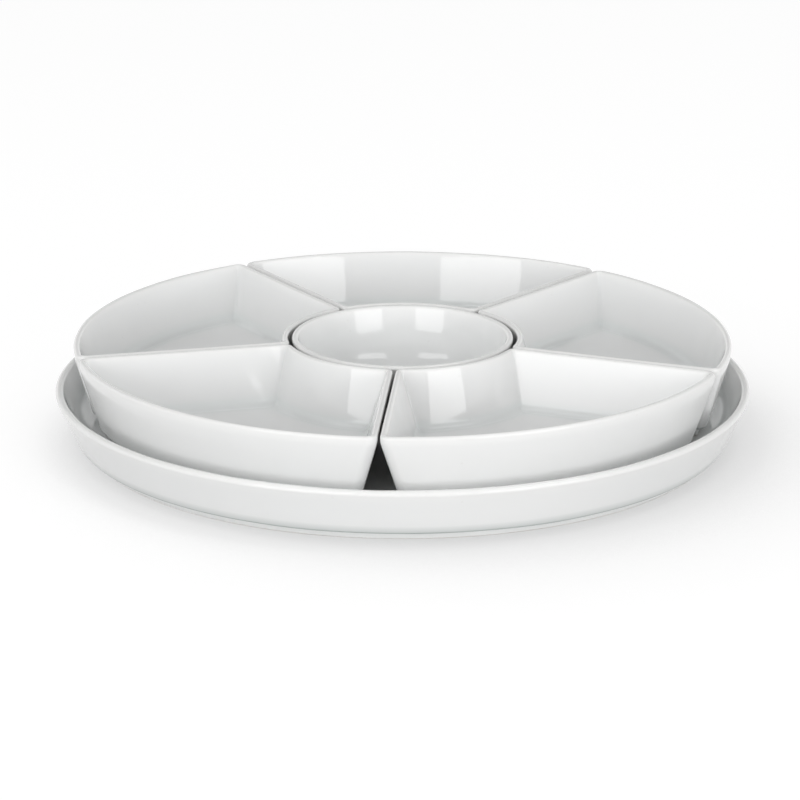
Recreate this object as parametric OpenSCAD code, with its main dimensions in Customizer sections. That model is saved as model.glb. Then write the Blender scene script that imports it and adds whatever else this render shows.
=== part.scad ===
// Divided serving set in white porcelain: a round tray that carries five wedge-shaped dishes
// round one centre bowl. Every dish and the bowl simply stand on the tray and lift straight off.
// Origin: the middle of the tray's foot, on the table. +Z is up and the front is towards -Y.
// Lengths are in millimetres and turns in degrees.

/* [Tray] */
// Outer diameter of the tray, across its rim
tray_d = 330; // [290:1:370]
// Height of the tray, from the table to the top of its rim
tray_h = 26.5; // [24:0.5:34]
// Lean of the tray's wall, outwards from upright
tray_lean = 24; // [10:0.5:30]
// Thickness of the tray's wall, measured level
tray_wall = 4.3; // [3.5:0.1:6]
// Thickness of the tray's floor
tray_floor_t = 6.4; // [4:0.1:7]
// Radius of the cove between the tray's floor and its wall
tray_cove_r = 9; // [4:0.5:12]
// Rounding of the tray's two rim edges
tray_rim_r = 1.6; // [0.6:0.1:1.7]
// Rounding of the lower edge of the tray's wall
tray_edge_r = 2; // [1:0.1:3]

/* [Tray foot] */
// Height of the foot ring under the tray
tray_foot_h = 3.9; // [3:0.1:7]
// How far the foot ring stands in from the lower edge of the wall
tray_foot_step = 4.2; // [3:0.1:12]
// Width of the foot ring where it meets the floor
tray_foot_w = 8; // [5:0.1:12]
// How much each face of the foot ring slopes in by the time it reaches the table
tray_foot_taper = 0.8; // [0.2:0.1:1.5]
// Rounding of the foot ring's edges
tray_foot_r = 0.9; // [0.4:0.1:1.2]

/* [Dishes] */
// Height of a wedge dish, from its foot to its rim
dish_h = 37.3; // [30:0.1:48]
// Thickness of a dish's rim, which is a full round
dish_rim_w = 3; // [2.4:0.1:4]
// Height of the upright band round a dish's rim, on the outside
dish_band_h = 3.6; // [2:0.1:8]
// Radius of the soft bend below that band
dish_bend_r = 12; // [4:0.5:20]
// Lean of a dish's walls on the outside, below the band
dish_lean = 15.5; // [10:0.5:18]
// Lean of a dish's walls on the inside
dish_lean_in = 17; // [11.5:0.5:22]
// Thickness of a dish's floor
dish_floor_t = 6.5; // [3.5:0.1:7]
// Radius of the cove between a dish's floor and its walls
dish_cove_r = 4; // [4:0.5:10]
// Rounding of the lower edge of a dish's walls
dish_edge_r = 3; // [1:0.1:4]
// Corner radius at the outer ends of a dish's sides, at the rim
dish_corner_r = 5; // [4:0.1:8]
// Corner radius at the inner ends of a dish's sides, at the rim
dish_well_corner_r = 4.2; // [3.6:0.1:6]
// Radius that the inside corners gain down to the floor, where the thicker wall takes some away
dish_corner_growth = 1.5; // [1:0.1:10]

/* [Dish feet] */
// Height of the foot that follows a dish's outline
dish_foot_h = 4; // [1.5:0.1:4]
// How far a dish's foot stands in from the lower edge of its walls
dish_foot_step = 3.6; // [2:0.1:5]
// Width of a dish's foot
dish_foot_w = 4.4; // [3:0.1:6]
// How much each face of a dish's foot slopes in by the time it reaches the tray
dish_foot_taper = 0.5; // [0.2:0.1:0.9]

/* [Centre bowl] */
// Diameter of the round well that the dishes leave free for the bowl, at the rim
well_d = 108.8; // [90:0.2:130]
// Thickness of the bowl's rim, which is a full round
bowl_rim_w = 3.2; // [2.4:0.1:4]
// Lean of the bowl's upper wall
bowl_lean = 12; // [6:0.5:18]
// Thickness of the bowl's floor
bowl_floor_t = 5; // [3.5:0.1:7]
// Radius of the curve that takes the inside of the wall down to the floor
bowl_cove_r = 27; // [20:0.5:30]
// Radius of the curve that takes the outside of the wall down to the foot
bowl_belly_r = 25; // [16:0.5:26]
// Diameter of the bowl's foot ring where it meets the floor
bowl_foot_d = 48; // [36:0.5:56]
// Height of the bowl's foot ring
bowl_foot_h = 2.6; // [1.5:0.1:4]
// Width of the bowl's foot ring
bowl_foot_w = 4.6; // [3:0.1:6]
// How much each face of the bowl's foot slopes in by the time it reaches the tray
bowl_foot_taper = 0.5; // [0.2:0.1:0.9]
// Rounding of the edges of the bowl's foot
bowl_foot_r = 0.6; // [0.3:0.1:0.8]

/* [Fits] */
// Gap between the rims of two neighbouring dishes
dish_gap = 1; // [0.6:0.1:3]
// Gap between the bowl's rim and the dishes round it
bowl_gap = 1.7; // [0.8:0.1:3]
// Room between the dishes' feet and the foot of the tray's cove
cove_play = 4.6; // [1:0.1:10]
// Gap between the tray's floor and the feet that stand on it
seat_gap = 0.3; // [0.1:0.05:0.5]
// Turn of the ring of dishes on the tray, as it was put down by hand
ring_turn = -3.9; // [-36:0.1:36]

/* [Hidden] */
$fn = 180;

glaze = [0.94, 0.945, 0.94];
dish_count = 5;
sector = 360 / dish_count;
half_sector = sector / 2;

// Turn that one straight step of a rounded edge may take, on turned pieces and on dishes
turned_step = 10;
dish_step = 20;
// Straight steps in a dish's outer arc, its inner arc and each corner
outer_steps = 16;
inner_steps = 10;
corner_steps = 4;
// Smallest corner radius that an outline keeps
least_corner = 0.6;

// The level part of a slope that leans out from upright by this angle and is this high
function run(height, lean) = height * tan(lean);

// How far the sharp corner of a rounded rim reaches past the rounded rim itself, on the side
// that leans out
function overreach(r, lean) = r / cos(lean) + run(r, lean) - r;

// Places on the tray, worked out from its rim inwards
tray_r = tray_d / 2;
tray_rim_out = tray_r + overreach(tray_rim_r, tray_lean);
tray_rim_in = tray_rim_out - tray_wall;
tray_floor_z = tray_foot_h + tray_floor_t;
tray_floor_edge = tray_rim_in - run(tray_h - tray_floor_z, tray_lean);
tray_low_edge = tray_rim_out - run(tray_h - tray_foot_h, tray_lean);
tray_foot_out = tray_low_edge - tray_foot_step;
tray_foot_in = tray_foot_out - tray_foot_w;
// Radius at which the tray's flat floor ends and its cove begins
tray_flat_r = tray_floor_edge - tray_cove_r * tan((90 - tray_lean) / 2);

// Height of the feet of the dishes and the bowl above the table
seat_z = tray_floor_z + seat_gap;

// Insets from a dish's rim outline: of the outside and inside wall at any height, and of the foot
dish_rim_r = dish_rim_w / 2;
function outside_inset(z) = max(0, run(dish_h - dish_band_h - z, dish_lean));
function inside_inset(z) =
    dish_rim_r + dish_rim_r / cos(dish_lean_in) + run(dish_h - dish_rim_r - z, dish_lean_in);
dish_floor_z = dish_foot_h + dish_floor_t;
dish_foot_inset = outside_inset(dish_foot_h) + dish_foot_step;

// Radius of the ring of dishes at the rim: its feet stand clear of the tray's cove
ring_r = tray_flat_r - cove_play + dish_foot_inset;
well_r = well_d / 2;

// Places on the bowl, in from its rim
bowl_h = dish_h;
bowl_r = well_r - bowl_gap;
bowl_rim_r = bowl_rim_w / 2;
bowl_rim_out = bowl_r + overreach(bowl_rim_r, bowl_lean);
bowl_floor_z = bowl_foot_h + bowl_floor_t;
bowl_low_edge = bowl_rim_out - run(bowl_h - bowl_foot_h, bowl_lean);
bowl_rim_in = bowl_r - bowl_rim_r - bowl_rim_r / cos(bowl_lean) + run(bowl_rim_r, bowl_lean);
bowl_floor_edge = bowl_rim_in - run(bowl_h - bowl_floor_z, bowl_lean);
bowl_foot_out = bowl_foot_d / 2;
bowl_foot_in = bowl_foot_out - bowl_foot_w;

// Outlines are lists of corners [across, up, radius]. These functions round such a list.
function place(corner) = [corner[0], corner[1]];
function toward(a, b) = (b - a) / norm(b - a);

// Angle between the two lines that meet at corner i
function opening(path, i) =
    let(p = place(path[i]))
    acos(toward(p, place(path[i - 1])) * toward(p, place(path[i + 1])));

// Length of line that the rounding of corner i takes up; the ends of a list stay sharp
function taken(path, i) =
    i == 0 || i == len(path) - 1 || path[i][2] == 0 ? 0 : path[i][2] / tan(opening(path, i) / 2);

// Share of its radius that corner i can have before it meets the next corner's rounding
function room_share(path, i) =
    let(
        before = norm(place(path[i]) - place(path[i - 1])),
        after = norm(place(path[i]) - place(path[i + 1])),
        own = taken(path, i)
    )
    min(1, before / (own + taken(path, i - 1)), after / (own + taken(path, i + 1)));

// The arc that rounds corner i, in steps of at most the given turn
function corner_arc(path, i, step) =
    let(
        p = place(path[i]),
        u = toward(p, place(path[i - 1])),
        v = toward(p, place(path[i + 1])),
        share = room_share(path, i),
        r = path[i][2] * share,
        reach = taken(path, i) * share,
        middle = p + (u + v) / norm(u + v) * norm([r, reach]),
        turn = 180 - opening(path, i),
        n = ceil(turn / step),
        first = p + u * reach - middle,
        last = p + v * reach - middle
    )
    [for (k = [0 : n]) middle + (first * sin(turn * (1 - k / n)) + last * sin(turn * k / n)) / sin(turn)];

function rounded_corner(path, i, step) =
    path[i][2] == 0 ? [place(path[i])] : corner_arc(path, i, step);

// The whole list with its inner corners rounded and its two ends as they are
function rounded(path, step) = [
    place(path[0]),
    for (i = [1 : len(path) - 2]) each rounded_corner(path, i, step),
    place(path[len(path) - 1])
];

module turned(path) {
    rotate_extrude() polygon(rounded(path, turned_step));
}

module serving_tray() {
    color(glaze) turned([
        [0, tray_floor_z, 0],
        [tray_floor_edge, tray_floor_z, tray_cove_r],
        [tray_rim_in, tray_h, tray_rim_r],
        [tray_rim_out, tray_h, tray_rim_r],
        [tray_low_edge, tray_foot_h, tray_edge_r],
        [tray_foot_out, tray_foot_h, tray_foot_r],
        [tray_foot_out - tray_foot_taper, 0, tray_foot_r],
        [tray_foot_in + tray_foot_taper, 0, tray_foot_r],
        [tray_foot_in, tray_foot_h, tray_foot_r],
        [0, tray_foot_h, 0]
    ]);
}

module centre_bowl() {
    color(glaze) translate([0, 0, seat_z]) turned([
        [0, bowl_floor_z, 0],
        [bowl_floor_edge, bowl_floor_z, bowl_cove_r],
        [bowl_rim_in, bowl_h, bowl_rim_r],
        [bowl_rim_out, bowl_h, bowl_rim_r],
        [bowl_low_edge, bowl_foot_h, bowl_belly_r],
        [bowl_foot_out, bowl_foot_h, bowl_foot_r],
        [bowl_foot_out - bowl_foot_taper, 0, bowl_foot_r],
        [bowl_foot_in + bowl_foot_taper, 0, bowl_foot_r],
        [bowl_foot_in, bowl_foot_h, bowl_foot_r],
        [0, bowl_foot_h, 0]
    ]);
}

// Points on an arc; the first is left out where the outline already has it
function arc(middle, r, from, to, steps, first) =
    [for (k = [first : steps]) let(a = from + (to - from) * k / steps) middle + r * [cos(a), sin(a)]];

// Outline of a dish at one level, inset from its rim: two arcs about the tray's middle, joined by
// straight sides along the seams, with rounded corners. It points along +X and runs anticlockwise.
function wedge(inset, corner, well_corner) =
    let(
        side = dish_gap / 2 + inset,
        r_out = ring_r - inset,
        r_in = well_r + inset,
        to_out = r_out - corner,
        to_in = r_in + well_corner,
        a_out = half_sector - asin((side + corner) / to_out),
        a_in = half_sector - asin((side + well_corner) / to_in),
        out = to_out * [cos(a_out), sin(a_out)],
        in = to_in * [cos(a_in), sin(a_in)],
        square = 90 + half_sector
    )
    concat(
        arc([0, 0], r_out, -a_out, a_out, outer_steps, 1),
        arc(out, corner, a_out, square, corner_steps, 1),
        arc(in, well_corner, square, 180 + a_in, corner_steps, 0),
        arc([0, 0], r_in, a_in, -a_in, inner_steps, 1),
        arc([in[0], -in[1]], well_corner, 180 - a_in, 360 - square, corner_steps, 1),
        arc([out[0], -out[1]], corner, 360 - square, 360 - a_out, corner_steps, 0)
    );

// Section of a dish's wall as corners [inset, height, radius], from its underside over the rim
// and down to its floor. The two halves meet on the crest of the rim.
dish_crest = [dish_rim_r, dish_h, 0];
dish_outside = [
    [dish_foot_inset + dish_foot_w, dish_foot_h, 0],
    [dish_foot_inset + dish_foot_w - dish_foot_taper, 0, 0],
    [dish_foot_inset + dish_foot_taper, 0, 0],
    [dish_foot_inset, dish_foot_h, 0],
    [outside_inset(dish_foot_h), dish_foot_h, dish_edge_r],
    [0, dish_h - dish_band_h, dish_bend_r],
    [0, dish_h, dish_rim_r],
    dish_crest
];
dish_inside = [
    dish_crest,
    [inside_inset(dish_h), dish_h, dish_rim_r],
    [inside_inset(dish_floor_z), dish_floor_z, dish_cove_r],
    [inside_inset(dish_floor_z) + dish_cove_r, dish_floor_z, 0]
];

// Corner radius of the outline at an inset and a height, from its radius at the rim. Going round
// an edge inwards makes it smaller, and going down the inside makes it larger.
function corner_at(rim_corner, inset, z, growth) = max(
    least_corner,
    rim_corner + outside_inset(z) - inset + growth * (dish_h - z) / (dish_h - dish_floor_z)
);

function level(point, growth) =
    let(
        inset = point[0],
        z = point[1],
        corner = corner_at(dish_corner_r, inset, z, growth),
        well_corner = corner_at(dish_well_corner_r, inset, z, growth)
    )
    [for (p = wedge(inset, corner, well_corner)) [p[0], p[1], z]];

// The outlines of a dish, stacked from its underside to its floor. Each half's list repeats the
// crest, which is kept once, and the floor's last corner only gives the cove its direction.
dish_outside_points = rounded(dish_outside, dish_step);
dish_inside_points = rounded(dish_inside, dish_step);
dish_levels = concat(
    [for (k = [0 : len(dish_outside_points) - 2]) level(dish_outside_points[k], 0)],
    [for (k = [2 : len(dish_inside_points) - 2]) level(dish_inside_points[k], dish_corner_growth)]
);

// A closed skin over stacked outlines of equal length: two triangles between neighbours, and a
// flat face on the first and the last outline
module stacked(levels) {
    n = len(levels[0]);
    last = len(levels) - 1;
    skin = [
        for (j = [0 : last - 1], i = [0 : n - 1])
            let(a = j * n + i, b = j * n + (i + 1) % n)
            each [[a, a + n, b], [b, a + n, b + n]]
    ];
    first_face = [for (i = [0 : n - 1]) i];
    last_face = [for (i = [n - 1 : -1 : 0]) last * n + i];
    polyhedron([for (one = levels) each one], concat(skin, [first_face, last_face]));
}

// The dish that is so many sectors on from the back one, anticlockwise
module dish(sectors) {
    color(glaze)
        translate([0, 0, seat_z])
            rotate([0, 0, 90 + ring_turn + sectors * sector])
                stacked(dish_levels);
}

serving_tray();
centre_bowl();
dish(0);  // back_dish
dish(1);  // back_left_dish
dish(2);  // front_left_dish
dish(3);  // front_right_dish
dish(4);  // back_right_dish
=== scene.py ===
"""Looks of a divided serving set in white glazed porcelain.

A round tray on a foot ring carries five wedge dishes round one centre bowl. Each piece is a closed surface
worked out with numpy from a section in millimetres, and takes the place of its plain solid. The sizes
follow the solids, and the tray's rim is a touch rounder.
"""

import bpy
import numpy as np
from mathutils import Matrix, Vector


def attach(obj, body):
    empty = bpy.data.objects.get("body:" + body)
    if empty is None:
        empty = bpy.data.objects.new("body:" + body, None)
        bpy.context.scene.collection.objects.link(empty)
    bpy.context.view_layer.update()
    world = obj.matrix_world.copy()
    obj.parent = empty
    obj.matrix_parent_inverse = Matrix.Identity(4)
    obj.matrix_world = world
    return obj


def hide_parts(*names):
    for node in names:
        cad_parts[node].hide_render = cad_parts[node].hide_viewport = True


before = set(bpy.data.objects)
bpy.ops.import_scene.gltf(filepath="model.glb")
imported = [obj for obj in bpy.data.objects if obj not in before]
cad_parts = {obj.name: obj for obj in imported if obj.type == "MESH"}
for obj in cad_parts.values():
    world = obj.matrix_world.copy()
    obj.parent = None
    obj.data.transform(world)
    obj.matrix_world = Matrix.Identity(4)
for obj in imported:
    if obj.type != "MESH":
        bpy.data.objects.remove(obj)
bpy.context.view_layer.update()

MM = 0.001

# The tray, from its rim down. TRAY_R is its radius with the rim rounded by TRAY_RIM_R, as on the solid. The
# piece's rim is rounded by TRAY_RIM_ROUNDING.
TRAY_R = 165.0
TRAY_H = 26.5
TRAY_LEAN = 24.0
TRAY_WALL = 4.3
TRAY_RIM_R = 1.6
TRAY_RIM_ROUNDING = 1.75
TRAY_COVE_R = 9.0
TRAY_EDGE_R = 2.0
TRAY_FLOOR_T = 6.4
TRAY_FOOT_H = 3.9
TRAY_FOOT_STEP = 4.2
TRAY_FOOT_W = 8.0
TRAY_FOOT_TAPER = 0.8
TRAY_FOOT_ROUNDING = 0.9

# The dishes. CORNER_GROWTH is the radius that an inside corner gains down to the floor, and no corner is
# tighter than LEAST_CORNER. The underside and the floor close at DISH_MIDDLE from the tray's middle.
DISH_H = 37.3
DISH_RIM_R = 1.5
DISH_BAND_H = 3.6
DISH_BEND_R = 12.0
DISH_LEAN = 15.5
DISH_LEAN_IN = 17.0
DISH_FLOOR_Z = 10.5
DISH_COVE_R = 4.0
DISH_EDGE_R = 3.0
DISH_CORNER_R = 5.0
WELL_CORNER_R = 4.2
CORNER_GROWTH = 1.5
LEAST_CORNER = 0.6
DISH_FOOT_H = 4.0
DISH_FOOT_STEP = 3.6
DISH_FOOT_W = 4.4
DISH_FOOT_TAPER = 0.5
DISH_FOOT_ROUNDING = 0.5
DISH_MIDDLE = 106.0
DISH_COUNT = 5
DISH_GAP = 1.0
COVE_PLAY = 4.6
WELL_R = 54.4
HALF_SECTOR = np.pi / DISH_COUNT
RING_TURN = -3.9

# How a dish is divided: steps along its outer arc, a straight side, the well's arc and its two kinds of
# corners. Then how far the outlines go on inwards from the foot and from the floor's edge, and the number
# of rings that close the rest.
ARC_STEPS = 110
SIDE_STEPS = 56
WELL_STEPS = 52
CORNER_STEPS = 14
WELL_CORNER_STEPS = 10
UNDER_REACH = 6.0
FLOOR_REACH = 9.0
CLOSING_RINGS = 17

# The centre bowl
BOWL_GAP = 1.7
BOWL_RIM_R = 1.6
BOWL_LEAN = 12.0
BOWL_COVE_R = 27.0
BOWL_BELLY_R = 25.0
BOWL_FLOOR_T = 5.0
BOWL_FOOT_R = 24.0
BOWL_FOOT_H = 2.6
BOWL_FOOT_W = 4.6
BOWL_FOOT_TAPER = 0.5
BOWL_FOOT_ROUNDING = 0.6

# Height of the feet of the dishes and the bowl, which stand just clear of the tray's floor
SEAT_GAP = 0.3
SEAT_Z = TRAY_FOOT_H + TRAY_FLOOR_T + SEAT_GAP

# How uneven the fired surfaces are: (height, size from crest to crest) of a long and a short wave
WAVES = ((0.055, 46), (0.02, 19))

# The glaze pools in a cove, fully at a radius of POOLING_AND_SHADE_R, and in the upright corners inside a
# dish; its darker, cooler tint there is partly painted shade. It thins over a rim, fully at a radius of
# THINNING_AND_LIGHT_R; its warmer, lighter tint there is partly painted light. The painted shade line on a
# lower edge is made of bell curves over the height, each (strength, middle above the edge, width).
POOLING_AND_SHADE_R = 9
COVE_POOLING_AND_SHADE = 0.9
CORNER_POOLING_AND_SHADE = 0.35
THINNING_AND_LIGHT_R = 2.2
EDGE_SHADE_CURVES = ((0.85, 0.2, 1.05), (0.15, 0.0, 3.0))

# Colours of the glaze: two whites that drift into each other, where it pools (partly painted shade), where it
# thins (partly painted light), the painted shade line on a lower edge and a pinhole. Then the two tones of the
# bare ware, and how far up from the table or the seat a foot is bare, in metres.
WHITES = ((0.842, 0.849, 0.846, 1), (0.854, 0.858, 0.855, 1))
POOLED_AND_SHADED = (0.802, 0.832, 0.826, 1)
THINNED_AND_LIT = (0.878, 0.876, 0.862, 1)
EDGE_SHADE = (0.33, 0.375, 0.365, 1)
PINHOLE = (0.60, 0.58, 0.54, 1)
BARE = ((0.70, 0.675, 0.63, 1), (0.80, 0.78, 0.74, 1))
BARE_HEIGHT = 0.0003

# How bright the room is on each side, low down, at mid height and high up, and overhead
FRONT_LEFT = (1.13, 0.79, 1.0)
FRONT_RIGHT = (1.38, 0.75, 0.61)
BACK_LEFT = (1.08, 0.77, 0.1)
BACK_RIGHT = (1.04, 0.76, 0.05)
CEILING = 0.22

# The panels' size and height over the table, and half the width of the table, in metres
PANEL_WIDE = 0.8
PANEL_DEEP = 0.38
PANEL_Z = 1.6
TABLE_REACH = 5.0

# The camera as fitted to the photo: its place in metres, its tilt up from straight down in degrees, and the
# lens and the width of the sensor in mm
CAMERA_PLACE = (-0.0012, -1.36973, 0.4516)
CAMERA_TILT = 72.328
LENS = 135
SENSOR = 36


def run(height, lean):
    """Level part of a slope that leans out from upright by so many degrees."""
    return height * np.tan(np.radians(lean))


def overreach(radius, lean):
    """How far the sharp corner of a rounded rim reaches past the rounded rim, on the side that leans out."""
    return radius / np.cos(np.radians(lean)) + run(radius, lean) - radius


def rounded(corners, stride, turn=4.0):
    """A section line through corners [across, up, radius], with each corner rounded by its radius.

    An arc's points are at sin-weighted mixes of its two ends, at most `turn` degrees apart, and a straight
    stretch is divided into equal parts of at most `stride` mm.
    """
    c = np.asarray(corners, float)
    points = [c[:1, :2]]
    for before, here, after in zip(c[:-2], c[1:-1], c[2:]):
        u = (before - here)[:2] / np.linalg.norm((before - here)[:2])
        v = (after - here)[:2] / np.linalg.norm((after - here)[:2])
        opening = np.arccos(np.clip(u @ v, -1, 1))
        reach = here[2] / np.tan(opening / 2)
        middle = here[:2] + (u + v) / np.linalg.norm(u + v) * np.hypot(here[2], reach)
        angle = np.pi - opening
        n = max(2, int(np.ceil(np.degrees(angle) / turn)))
        t = np.linspace(0, 1, n + 1)[:, None]
        first = here[:2] + u * reach - middle
        last = here[:2] + v * reach - middle
        points.append(middle + (first * np.sin(angle * (1 - t)) + last * np.sin(angle * t)) / np.sin(angle))
    points.append(c[-1:, :2])
    pieces = []
    for one, two in zip(points[:-1], points[1:]):
        pieces.append(one)
        length = np.linalg.norm(two[0] - one[-1])
        parts = int(np.ceil(length / stride))
        t = np.linspace(0, 1, parts + 1)[1:-1, None]
        pieces.append(one[-1] + (two[0] - one[-1]) * t)
    pieces.append(points[-1])
    line = np.concatenate(pieces)
    keep = np.r_[True, np.linalg.norm(np.diff(line, axis=0), axis=1) > 1e-6]
    return line[keep]


def bending(line, reach=1.6):
    """Signed bending of a section line at its points, in radians per mm: the change of direction over the
    length, averaged with a bell curve of that reach in mm. It is above 0 in a cove and below 0 on a rim."""
    step = np.diff(line, axis=0)
    length = np.linalg.norm(step, axis=1)
    heading = np.unwrap(np.arctan2(step[:, 1], step[:, 0]))
    s = np.r_[0, np.cumsum(length)]
    change = np.r_[0, np.diff(heading), 0]
    weight = np.exp(-(((s[:, None] - s[None]) / reach) ** 2) / 2) / (reach * np.sqrt(2 * np.pi))
    return weight @ change


def wave(points, size, seed, terms=14):
    """A smooth wavy field over points in mm: a sum of sines along random directions, of about that size
    from crest to crest, between about -1 and 1."""
    rng = np.random.default_rng(seed)
    way = rng.normal(size=(terms, 3))
    way /= np.linalg.norm(way, axis=1)[:, None]
    way *= 2 * np.pi / (size * rng.uniform(0.75, 1.4, (terms, 1)))
    phase = rng.uniform(0, 2 * np.pi, terms)
    return np.sin(points @ way.T + phase).sum(1) / np.sqrt(terms / 2) / 1.6


def normals_of(points, quads, triangles):
    """Unit normals at the points, from the faces round each, and the enclosed volume."""
    tri = np.concatenate([quads[:, [0, 1, 2]], quads[:, [0, 2, 3]], triangles])
    a, b, c = points[tri[:, 0]], points[tri[:, 1]], points[tri[:, 2]]
    face = np.cross(b - a, c - a)
    out = np.zeros_like(points)
    for k in range(3):
        np.add.at(out, tri[:, k], face)
    volume = np.einsum("ij,ij->i", a, np.cross(b, c)).sum() / 6
    return out / np.maximum(np.linalg.norm(out, axis=1), 1e-12)[:, None], volume


def piece(name, node, body, points, quads, triangles, marks, material, seed):
    """The finished piece: its surface made slightly uneven as fired ware is, in metres, on its body."""
    normal, volume = normals_of(points, quads, triangles)
    if volume < 0:
        quads, triangles, normal = quads[:, ::-1], triangles[:, ::-1], -normal
    # The face that the piece stands on stays flat, up to 0.5 mm, and the waves are full 3 mm further up
    lowest = points[:, 2].min()
    free = np.clip((points[:, 2] - lowest - 0.5) / 3, 0, 1)
    uneven = sum(height * wave(points, size, seed + k) for k, (height, size) in enumerate(WAVES))
    points = points + normal * (uneven * free)[:, None]
    mesh = bpy.data.meshes.new(name)
    mesh.from_pydata((points * MM).tolist(), [], quads.tolist() + triangles.tolist())
    mesh.polygons.foreach_set("use_smooth", np.ones(len(mesh.polygons), bool))
    for key, value in marks.items():
        mesh.attributes.new(key, "FLOAT", "POINT").data.foreach_set("value", value.astype(np.float32))
    mesh.materials.append(material)
    mesh.update()
    made = bpy.data.objects.new(name, mesh)
    bpy.context.scene.collection.objects.link(made)
    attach(made, body)
    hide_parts(node)


def stacked(rings, start, end):
    """Points and faces of a stack of closed rings, given as (ring, point, xyz): four-sided faces between
    neighbouring rings and a fan of triangles at each end, round the points start and end."""
    rows, columns = rings.shape[:2]
    points = np.concatenate([rings.reshape(-1, 3), [start, end]])
    i = np.arange(rows - 1)[:, None] * columns
    j = np.arange(columns)
    k = (j + 1) % columns
    quads = np.stack([i + j, i + k, i + columns + k, i + columns + j], -1).reshape(-1, 4)
    base = (rows - 1) * columns
    first = np.full(columns, rows * columns)
    fans = [np.stack([first, k, j], -1), np.stack([first + 1, base + j, base + k], -1)]
    return points, quads, np.concatenate(fans)


def turned(line, steps=360):
    """A surface turned round the upright axis: each section point (r, z) goes to (r cos a, r sin a, z) for
    `steps` equal angles a. The section starts and ends on the axis, where the rings close in a point."""
    a = np.arange(steps) * 2 * np.pi / steps
    r, z = line[1:-1, :1], line[1:-1, 1:]
    rings = np.stack([r * np.cos(a), r * np.sin(a), np.broadcast_to(z, (len(z), steps))], -1)
    bend = np.r_[np.repeat(bending(line)[1:-1], steps), 0, 0]
    return *stacked(rings, [0, 0, line[0, 1]], [0, 0, line[-1, 1]]), bend


def marks_from(points, bend, edge_z, corner=0.0):
    """Where the glaze pools, where it thins and where the painted shade line lies on a lower edge: 0 is not at
    all and 1 is fully. The tint where it pools is partly painted shade, and where it thins partly painted
    light.

    It pools where the section bends inwards, with `corner` added, and thins where it bends outwards. The
    painted shade line is there too, on the lower edge of a wall, which is at height edge_z.
    """
    above = points[:, 2] - edge_z
    # Painted shade: a dark line just above a wall's lower edge, where shade falls under the edge
    edge_shade = sum(share * np.exp(-(((above - middle) / width) ** 2)) for share, middle, width in EDGE_SHADE_CURVES)
    edge_shade = edge_shade * (bend < 0)
    # The tint in coves and inside corners is partly glaze pooling and partly painted shade
    pooled_and_shade = np.clip(bend * POOLING_AND_SHADE_R, 0, 1) * COVE_POOLING_AND_SHADE + corner
    # The tint over rims is partly thinner glaze and partly painted light
    thin_and_lit = np.clip(-bend * THINNING_AND_LIGHT_R, 0, 1) * (1 - edge_shade)
    return {"pooled_and_shade": pooled_and_shade, "thin_and_lit": thin_and_lit, "edge_shade": edge_shade}


class Wire:
    """A socket of a material. Sums, differences and products of wires and numbers add Math nodes."""

    def __init__(self, tree, socket=None):
        self.tree = tree
        self.socket = socket

    def node(self, kind, settings, values, out=0):
        """A node of that kind, its settings made first and then its sockets' values or links, as a wire
        from one of its outputs."""
        made = self.tree.nodes.new(kind)
        for key, value in settings.items():
            setattr(made, key, value)
        for key, value in values.items():
            if isinstance(value, Wire):
                self.tree.links.new(value.socket, made.inputs[key])
            else:
                made.inputs[key].default_value = value
        return Wire(self.tree, made.outputs[out])

    def maths(self, operation, a, b):
        """A Math node on two wires or numbers."""
        return self.node("ShaderNodeMath", {"operation": operation}, {0: a, 1: b})

    def __add__(self, other):
        return self.maths("ADD", self, other)

    def __sub__(self, other):
        return self.maths("SUBTRACT", self, other)

    def __rsub__(self, other):
        return self.maths("SUBTRACT", other, self)

    def __mul__(self, other):
        return self.maths("MULTIPLY", self, other)

    __radd__ = __add__
    __rmul__ = __mul__

    def ease(self, low, high):
        """0 below low, 1 above high and a smooth step between."""
        return self.node(
            "ShaderNodeMapRange",
            {"interpolation_type": "SMOOTHSTEP"},
            {"Value": self, "From Min": low, "From Max": high, "To Min": 0.0, "To Max": 1.0},
        )

    def blend(self, one, two):
        """Colour one where this wire is 0 and colour two where it is 1."""
        return self.node("ShaderNodeMix", {"data_type": "RGBA"}, {0: self, 6: one, 7: two}, out=2)


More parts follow.
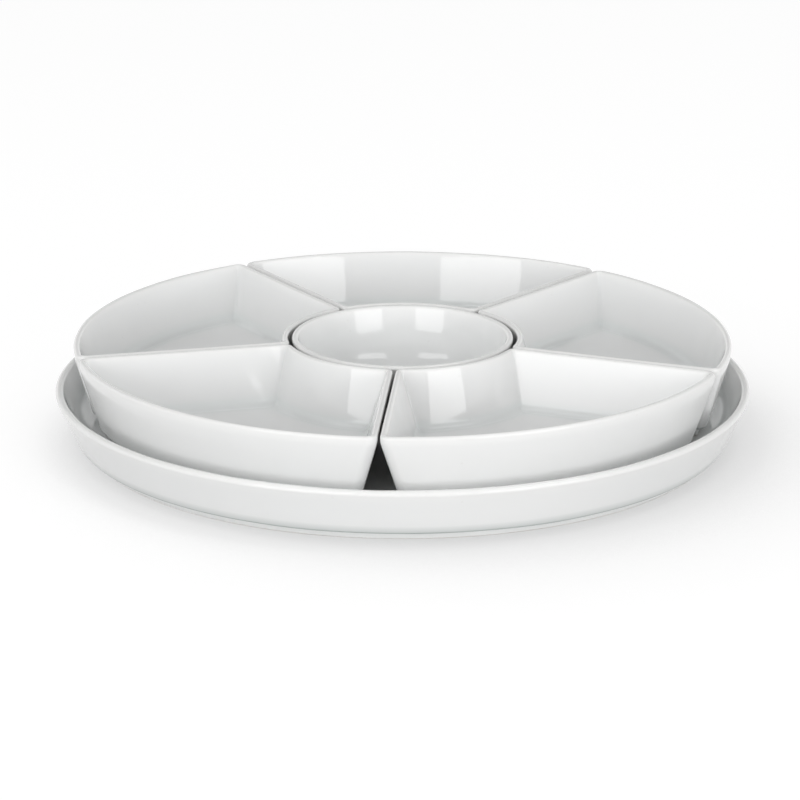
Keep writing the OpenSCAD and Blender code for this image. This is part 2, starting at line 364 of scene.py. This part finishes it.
def glazed_porcelain(name, foot_z):
    """White porcelain under a clear glossy glaze, bare and matt on the face of a foot that stands at height
    foot_z, in metres."""
    material = bpy.data.materials.new(name)
    material.use_nodes = True
    tree = material.node_tree
    shader = tree.nodes["Principled BSDF"]
    start = Wire(tree)
    place = start.node("ShaderNodeTexCoord", {}, {}, out="Object")
    height = start.node("ShaderNodeSeparateXYZ", {}, {"Vector": place}, out="Z")
    pooled_and_shade = start.node("ShaderNodeAttribute", {"attribute_name": "pooled_and_shade"}, {}, out="Fac")
    thin_and_lit = start.node("ShaderNodeAttribute", {"attribute_name": "thin_and_lit"}, {}, out="Fac")
    edge_shade = start.node("ShaderNodeAttribute", {"attribute_name": "edge_shade"}, {}, out="Fac")

    def noise(scale, detail):
        return start.node(
            "ShaderNodeTexNoise",
            {"noise_dimensions": "3D"},
            {"Vector": place, "Scale": scale, "Detail": detail, "Roughness": 0.5},
        )

    cloud = noise(16.0, detail=3.0)
    ripple = noise(55.0, detail=2.0)
    peel = noise(520.0, detail=2.0)
    grain = noise(2600.0, detail=2.0)
    speck = start.node(
        "ShaderNodeTexVoronoi", {"feature": "F1"}, {"Vector": place, "Scale": 95.0, "Randomness": 1.0}
    )
    pit = 1 - speck.ease(0.035, 0.075)

    # The glaze starts along a slightly ragged line just above the face of the foot
    foot_top = foot_z + BARE_HEIGHT
    glazed = (height + (ripple - 0.5) * 0.0005).ease(foot_top, foot_top + 0.00025)
    white = cloud.ease(0.3, 0.7).blend(*WHITES)
    # Tints over the white: partly painted shade in coves and corners, partly painted light on rims, painted
    # shade under lower edges, and pinholes
    tints = [(pooled_and_shade, 0.7, POOLED_AND_SHADED), (thin_and_lit, 0.6, THINNED_AND_LIT), (edge_shade, 0.9, EDGE_SHADE), (pit, 0.10, PINHOLE)]
    for mark, share, tint in tints:
        white = (mark * share).blend(white, tint)
    bare = grain.blend(*BARE)
    colour = glazed.blend(bare, white)
    tree.links.new(colour.socket, shader.inputs["Base Color"])

    # How rough the bare ware and the glaze are, and the relief of both
    matt = grain * 0.15 + 0.72
    gloss = peel * 0.02 + cloud * 0.03 + 0.02
    rough = matt + (gloss - matt) * glazed
    tree.links.new(rough.socket, shader.inputs["Roughness"])
    tree.links.new((glazed * 0.15).socket, shader.inputs["Coat Weight"])
    shader.inputs["Coat Roughness"].default_value = 0.03
    shader.inputs["Coat IOR"].default_value = 1.5
    shader.inputs["IOR"].default_value = 1.45
    relief = ripple * 0.6 + peel * 0.035 * glazed + (1 - glazed) * grain * 0.12
    bump = start.node("ShaderNodeBump", {}, {"Height": relief, "Strength": 0.35, "Distance": 0.00032})
    tree.links.new(bump.socket, shader.inputs["Normal"])
    return material


def tray_section():
    """The tray from the middle of its floor over the rim and down to the middle of its underside."""
    rim_out = TRAY_R + overreach(TRAY_RIM_R, TRAY_LEAN)
    rim_in = rim_out - TRAY_WALL
    floor_z = TRAY_FOOT_H + TRAY_FLOOR_T
    foot_out = rim_out - run(TRAY_H - TRAY_FOOT_H, TRAY_LEAN) - TRAY_FOOT_STEP
    foot_in = foot_out - TRAY_FOOT_W
    return rounded(
        [
            [0, floor_z, 0],
            [rim_in - run(TRAY_H - floor_z, TRAY_LEAN), floor_z, TRAY_COVE_R],
            [rim_in, TRAY_H, TRAY_RIM_ROUNDING],
            [rim_out, TRAY_H, TRAY_RIM_ROUNDING],
            [rim_out - run(TRAY_H - TRAY_FOOT_H, TRAY_LEAN), TRAY_FOOT_H, TRAY_EDGE_R],
            [foot_out, TRAY_FOOT_H, TRAY_FOOT_ROUNDING],
            [foot_out - TRAY_FOOT_TAPER, 0, TRAY_FOOT_ROUNDING],
            [foot_in + TRAY_FOOT_TAPER, 0, TRAY_FOOT_ROUNDING],
            [foot_in, TRAY_FOOT_H, TRAY_FOOT_ROUNDING],
            [0, TRAY_FOOT_H, 0],
        ],
        stride=4.0,
    )


def bowl_section():
    """The bowl from the middle of its floor over the rim and down to the middle of its underside."""
    rim_r = BOWL_RIM_R
    edge = WELL_R - BOWL_GAP
    rim_out = edge + overreach(rim_r, BOWL_LEAN)
    rim_in = edge - rim_r - rim_r / np.cos(np.radians(BOWL_LEAN)) + run(rim_r, BOWL_LEAN)
    floor_z = BOWL_FOOT_H + BOWL_FLOOR_T
    foot_in = BOWL_FOOT_R - BOWL_FOOT_W
    line = rounded(
        [
            [0, floor_z, 0],
            [rim_in - run(DISH_H - floor_z, BOWL_LEAN), floor_z, BOWL_COVE_R],
            [rim_in, DISH_H, rim_r],
            [rim_out, DISH_H, rim_r],
            [rim_out - run(DISH_H - BOWL_FOOT_H, BOWL_LEAN), BOWL_FOOT_H, BOWL_BELLY_R],
            [BOWL_FOOT_R, BOWL_FOOT_H, BOWL_FOOT_ROUNDING],
            [BOWL_FOOT_R - BOWL_FOOT_TAPER, 0, BOWL_FOOT_ROUNDING],
            [foot_in + BOWL_FOOT_TAPER, 0, BOWL_FOOT_ROUNDING],
            [foot_in, BOWL_FOOT_H, BOWL_FOOT_ROUNDING],
            [0, BOWL_FOOT_H, 0],
        ],
        stride=1.6,
    )
    return line + [0, SEAT_Z]


def outside_inset(z):
    """Inset of a dish's outer wall from its rim outline at height z."""
    return np.maximum(0, run(DISH_H - DISH_BAND_H - z, DISH_LEAN))


def inside_inset(z):
    """Inset of a dish's inner wall from its rim outline at height z."""
    return (
        DISH_RIM_R
        + DISH_RIM_R / np.cos(np.radians(DISH_LEAN_IN))
        + run(DISH_H - DISH_RIM_R - z, DISH_LEAN_IN)
    )


def outlines(inset, corner, well_corner, ring_r):
    """Wedge outlines, one row for each inset, and for each point of a row how far it is inside a corner: 1
    at the middle of a corner, 0 at its ends and on the sides.

    An outline is an arc round the tray's middle outside and another round the well inside, joined by straight
    sides at half the gap plus the inset from the seams, with a rounded corner wherever two of them meet. Each
    corner's middle lies where arc and side, moved in by its radius, cross. Outlines run anticlockwise about +X.
    """
    side = DISH_GAP / 2 + inset
    r_out = ring_r - inset
    r_in = WELL_R + inset
    to_out = r_out - corner
    to_in = r_in + well_corner
    a_out = HALF_SECTOR - np.arcsin((side + corner) / to_out)
    a_in = HALF_SECTOR - np.arcsin((side + well_corner) / to_in)
    square = np.pi / 2 + HALF_SECTOR

    def arc(x, y, r, start, end, steps):
        t = np.linspace(0, 1, steps + 1)[None, :-1]
        a = start[:, None] + (end - start)[:, None] * t
        return np.stack([x[:, None] + r[:, None] * np.cos(a), y[:, None] + r[:, None] * np.sin(a)], -1)

    def line(one, two, steps):
        t = np.linspace(0, 1, steps + 1)[None, :-1, None]
        return one[:, None] + (two - one)[:, None] * t

    zero = np.zeros_like(inset)
    full = np.full_like(inset, square)
    ox, oy = to_out * np.cos(a_out), to_out * np.sin(a_out)
    ix, iy = to_in * np.cos(a_in), to_in * np.sin(a_in)

    def at(x, y, r, a):
        return np.stack([x + r * np.cos(a), y + r * np.sin(a)], -1)

    sides = [
        arc(zero, zero, r_out, -a_out, a_out, ARC_STEPS),
        line(at(ox, oy, corner, full), at(ix, iy, well_corner, full), SIDE_STEPS),
        arc(zero, zero, r_in, a_in, -a_in, WELL_STEPS),
        line(at(ix, -iy, well_corner, -full), at(ox, -oy, corner, -full), SIDE_STEPS),
    ]
    corners = [
        arc(ox, oy, corner, a_out, full, CORNER_STEPS),
        arc(ix, iy, well_corner, full, np.pi + a_in, WELL_CORNER_STEPS),
        arc(ix, -iy, well_corner, np.pi - a_in, 2 * np.pi - full, WELL_CORNER_STEPS),
        arc(ox, -oy, corner, -full, -a_out, CORNER_STEPS),
    ]
    pieces, marks = [], []
    for side_part, corner_part in zip(sides, corners):
        pieces += [side_part, corner_part]
        marks += [np.zeros(side_part.shape[1]), np.sin(np.linspace(0, np.pi, corner_part.shape[1]))]
    return np.concatenate(pieces, 1), np.concatenate(marks)


def dish_surface():
    """One dish about +X, standing at its place on the tray: wedge outlines stacked along the section of its
    wall, with rings that shrink to a point closing the underside and the floor."""
    foot_inset = outside_inset(DISH_FOOT_H) + DISH_FOOT_STEP
    rim_out = TRAY_R + overreach(TRAY_RIM_R, TRAY_LEAN)
    floor_edge = rim_out - TRAY_WALL - run(TRAY_H - TRAY_FOOT_H - TRAY_FLOOR_T, TRAY_LEAN)
    ring_r = floor_edge - TRAY_COVE_R * np.tan(np.radians((90 - TRAY_LEAN) / 2)) - COVE_PLAY + foot_inset
    inner = foot_inset + DISH_FOOT_W
    # The rim's two arcs stop just short of each other, so that no point comes twice
    rim_rounding = DISH_RIM_R - 0.001
    line = rounded(
        [
            [inner + UNDER_REACH, DISH_FOOT_H, 0],
            [inner, DISH_FOOT_H, DISH_FOOT_ROUNDING],
            [inner - DISH_FOOT_TAPER, 0, DISH_FOOT_ROUNDING],
            [foot_inset + DISH_FOOT_TAPER, 0, DISH_FOOT_ROUNDING],
            [foot_inset, DISH_FOOT_H, DISH_FOOT_ROUNDING],
            [outside_inset(DISH_FOOT_H), DISH_FOOT_H, DISH_EDGE_R],
            [0, DISH_H - DISH_BAND_H, DISH_BEND_R],
            [0, DISH_H, rim_rounding],
            [inside_inset(DISH_H), DISH_H, rim_rounding],
            [inside_inset(DISH_FLOOR_Z), DISH_FLOOR_Z, DISH_COVE_R],
            [inside_inset(DISH_FLOOR_Z) + FLOOR_REACH, DISH_FLOOR_Z, 0],
        ],
        stride=1.6,
    )
    crest = int(np.argmax(line[:, 1]))
    inset, z = line[:, 0], line[:, 1]
    inside = (np.arange(len(line)) > crest).astype(float)
    # A corner gets tighter by as much as its outline lies within the outer wall, so the wall is even round it
    grown = CORNER_GROWTH * inside * (DISH_H - z) / (DISH_H - DISH_FLOOR_Z)
    shrink = outside_inset(z) - inset + grown
    corner = np.maximum(LEAST_CORNER, DISH_CORNER_R + shrink)
    well_corner = np.maximum(LEAST_CORNER, WELL_CORNER_R + shrink)
    rows, corner_mark = outlines(inset, corner, well_corner, ring_r)
    middle = np.array([DISH_MIDDLE, 0.0])
    fractions = np.linspace(1, 0, CLOSING_RINGS)[1:-1, None, None]
    under = middle + (rows[:1] - middle) * fractions[::-1]
    floor = middle + (rows[-1:] - middle) * fractions
    plan = np.concatenate([under, rows, floor])
    level = np.r_[np.full(len(under), z[0]), z, np.full(len(floor), z[-1])]
    level = np.broadcast_to(level[:, None, None], plan.shape[:2] + (1,))
    rings = np.concatenate([plan, level], -1)
    points, quads, triangles = stacked(rings, [*middle, z[0]], [*middle, z[-1]])
    flat = np.zeros(len(under))
    bend = np.r_[flat, bending(line), flat]
    inside = np.r_[flat, inside, flat]
    # Glaze pooling in the inside corners, partly painted shade
    corners = np.r_[(inside[:, None] * corner_mark[None] * CORNER_POOLING_AND_SHADE).ravel(), 0, 0]
    bend = np.r_[np.repeat(bend, rows.shape[1]), 0, 0]
    return points + [0, 0, SEAT_Z], quads, triangles, marks_from(points, bend, DISH_FOOT_H, corners)


def turned_about_middle(points, degrees):
    """Points turned about the upright axis, anticlockwise from above."""
    a = np.radians(degrees)
    turn = np.array([[np.cos(a), -np.sin(a), 0], [np.sin(a), np.cos(a), 0], [0, 0, 1]])
    return points @ turn.T


def table_top():
    """A wide white table. Seen directly or mirrored it glows white but for the shade of the set, a quarter of
    which is real cast shadow and the rest painted shadow that dims the glow by an ambient occlusion count. The
    count is taken round a direction that leans to the back left, so that more of the shade falls to the front
    right, as in the photo. On the porcelain's own shading the table acts as plain pale paint."""
    material = bpy.data.materials.new("table_white")
    material.use_nodes = True
    tree = material.node_tree
    tree.nodes.remove(tree.nodes["Principled BSDF"])
    start = Wire(tree)
    seen = start.node("ShaderNodeLightPath", {}, {}, out="Is Camera Ray")
    glossy = start.node("ShaderNodeLightPath", {}, {}, out="Is Glossy Ray")
    through = start.node("ShaderNodeLightPath", {}, {}, out="Is Transmission Ray")
    leaning = start.node("ShaderNodeCombineXYZ", {}, {"X": -0.3, "Y": 0.2, "Z": 1.0}, out="Vector")
    open_sky = start.node(
        "ShaderNodeAmbientOcclusion", {"samples": 8}, {"Distance": 0.16, "Normal": leaning}, out="AO"
    )
    shade = 1 - open_sky
    plain = start.node("ShaderNodeBsdfDiffuse", {}, {"Color": (0.67, 0.67, 0.67, 1)})
    bright = start.node("ShaderNodeBsdfDiffuse", {}, {"Color": (1.0, 1.0, 1.0, 1)})
    # Painted shadow: the glow is dimmed where the ambient occlusion count finds the set
    strength = 1.12 - shade.ease(0.16, 0.36) * 0.12 - shade * 0.35
    glow = start.node("ShaderNodeEmission", {}, {"Color": (1, 1, 1, 1), "Strength": strength})
    lit = start.node("ShaderNodeMixShader", {}, {0: 0.75, 1: bright, 2: glow})
    shown = (seen + glossy + through).ease(0.0, 1.0)
    both = start.node("ShaderNodeMixShader", {}, {0: shown, 1: plain, 2: lit})
    tree.links.new(both.socket, tree.nodes["Material Output"].inputs["Surface"])
    corners = [(x * TABLE_REACH, y * TABLE_REACH, 0) for x, y in ((-1, -1), (1, -1), (1, 1), (-1, 1))]
    mesh = bpy.data.meshes.new("table")
    mesh.from_pydata(corners, [], [(0, 1, 2, 3)])
    mesh.materials.append(material)
    table = bpy.data.objects.new("table", mesh)
    bpy.context.scene.collection.objects.link(table)


def soft_lamp(name, wide, high, radiance):
    """A rectangular lamp of that size in metres that sends out that radiance, as an object."""
    lamp = bpy.data.lights.new(name, "AREA")
    lamp.shape = "RECTANGLE"
    lamp.size = wide
    lamp.size_y = high
    lamp.energy = radiance * np.pi * wide * high
    box = bpy.data.objects.new(name, lamp)
    bpy.context.scene.collection.objects.link(box)
    return box


def softbox(name, bearing, high, spread, distance, radiance):
    """An upright soft box that stands on the table: `bearing` degrees to the right of the camera, up to the
    elevation `high` and `spread` degrees wide as seen from the set."""
    a = np.radians(-90 + bearing)
    top = distance * np.tan(np.radians(high))
    box = soft_lamp(name, 2 * distance * np.tan(np.radians(spread / 2)), top, radiance)
    box.location = (distance * np.cos(a), distance * np.sin(a), top / 2)
    box.rotation_euler = (Vector((0, 0, top / 2)) - box.location).to_track_quat("-Z", "Y").to_euler()


def panel(name, x, y, turn, radiance):
    """A small soft panel that hangs over the set and faces down, turned in its own plane."""
    box = soft_lamp(name, PANEL_WIDE, PANEL_DEEP, radiance)
    box.location = (x, y, PANEL_Z)
    box.rotation_euler = (0, 0, np.radians(turn))


def room():
    """The room round the set: pale low down, where its walls and the table's far parts are, and dim
    overhead. Each side has one strength low down, one at mid height and one high up, and they run softly
    into each other."""
    world = bpy.data.worlds.new("room")
    bpy.context.scene.world = world
    world.use_nodes = True
    tree = world.node_tree
    background = tree.nodes["Background"]
    start = Wire(tree)
    way = start.node("ShaderNodeTexCoord", {}, {}, out="Generated")
    right = start.node("ShaderNodeSeparateXYZ", {}, {"Vector": way}, out="X").ease(-0.35, 0.35)
    back = start.node("ShaderNodeSeparateXYZ", {}, {"Vector": way}, out="Y").ease(-0.35, 0.35)
    up = start.node("ShaderNodeSeparateXYZ", {}, {"Vector": way}, out="Z")
    mid, high, top = up.ease(0.14, 0.30), up.ease(0.42, 0.60), up.ease(0.72, 0.86)
    sides = [
        ((1 - back) * (1 - right), FRONT_LEFT),
        ((1 - back) * right, FRONT_RIGHT),
        (back * (1 - right), BACK_LEFT),
        (back * right, BACK_RIGHT),
    ]
    strength = top * CEILING
    for part, (low_tone, mid_tone, high_tone) in sides:
        tone = (1 - mid) * low_tone + (mid - high) * mid_tone + (high - top) * high_tone
        strength = strength + part * tone
    background.inputs["Color"].default_value = (1, 1, 1, 1)
    tree.links.new(strength.socket, background.inputs["Strength"])


tray_glaze = glazed_porcelain("tray_glaze", 0.0)
dish_glaze = glazed_porcelain("dish_glaze", SEAT_Z * MM)

points, quads, triangles, bend = turned(tray_section(), steps=480)
marks = marks_from(points, bend, TRAY_FOOT_H)
piece("tray_piece", "serving_tray", "tray", points, quads, triangles, marks, tray_glaze, 3)
points, quads, triangles, bend = turned(bowl_section())
marks = marks_from(points, bend, SEAT_Z + BOWL_FOOT_H)
piece("bowl_piece", "centre_bowl", "bowl", points, quads, triangles, marks, dish_glaze, 5)
dish, quads, triangles, marks = dish_surface()
for number, side in enumerate(["back", "back_left", "front_left", "front_right", "back_right"]):
    placed = turned_about_middle(dish, 90 + RING_TURN + 360 / DISH_COUNT * number)
    piece(side + "_piece", side + "_dish", side, placed, quads, triangles, marks, dish_glaze, 11 + 7 * number)

table_top()
softbox("left_box", bearing=-31.5, high=23, spread=33, distance=1.7, radiance=3.0)
softbox("right_box", bearing=39.5, high=23, spread=32, distance=1.7, radiance=3.2)
panel("left_panel", x=-0.75, y=-0.16, turn=-24, radiance=3.2)
panel("right_panel", x=0.75, y=-0.16, turn=24, radiance=3.2)
room()

lens = bpy.data.cameras.new("camera")
lens.lens = LENS
lens.sensor_width = SENSOR
lens.clip_end = 50
camera = bpy.data.objects.new("camera", lens)
camera.location = CAMERA_PLACE
camera.rotation_euler = (np.radians(CAMERA_TILT), 0, 0)
bpy.context.scene.collection.objects.link(camera)
bpy.context.scene.camera = camera
bpy.context.scene.view_settings.view_transform = "Standard"
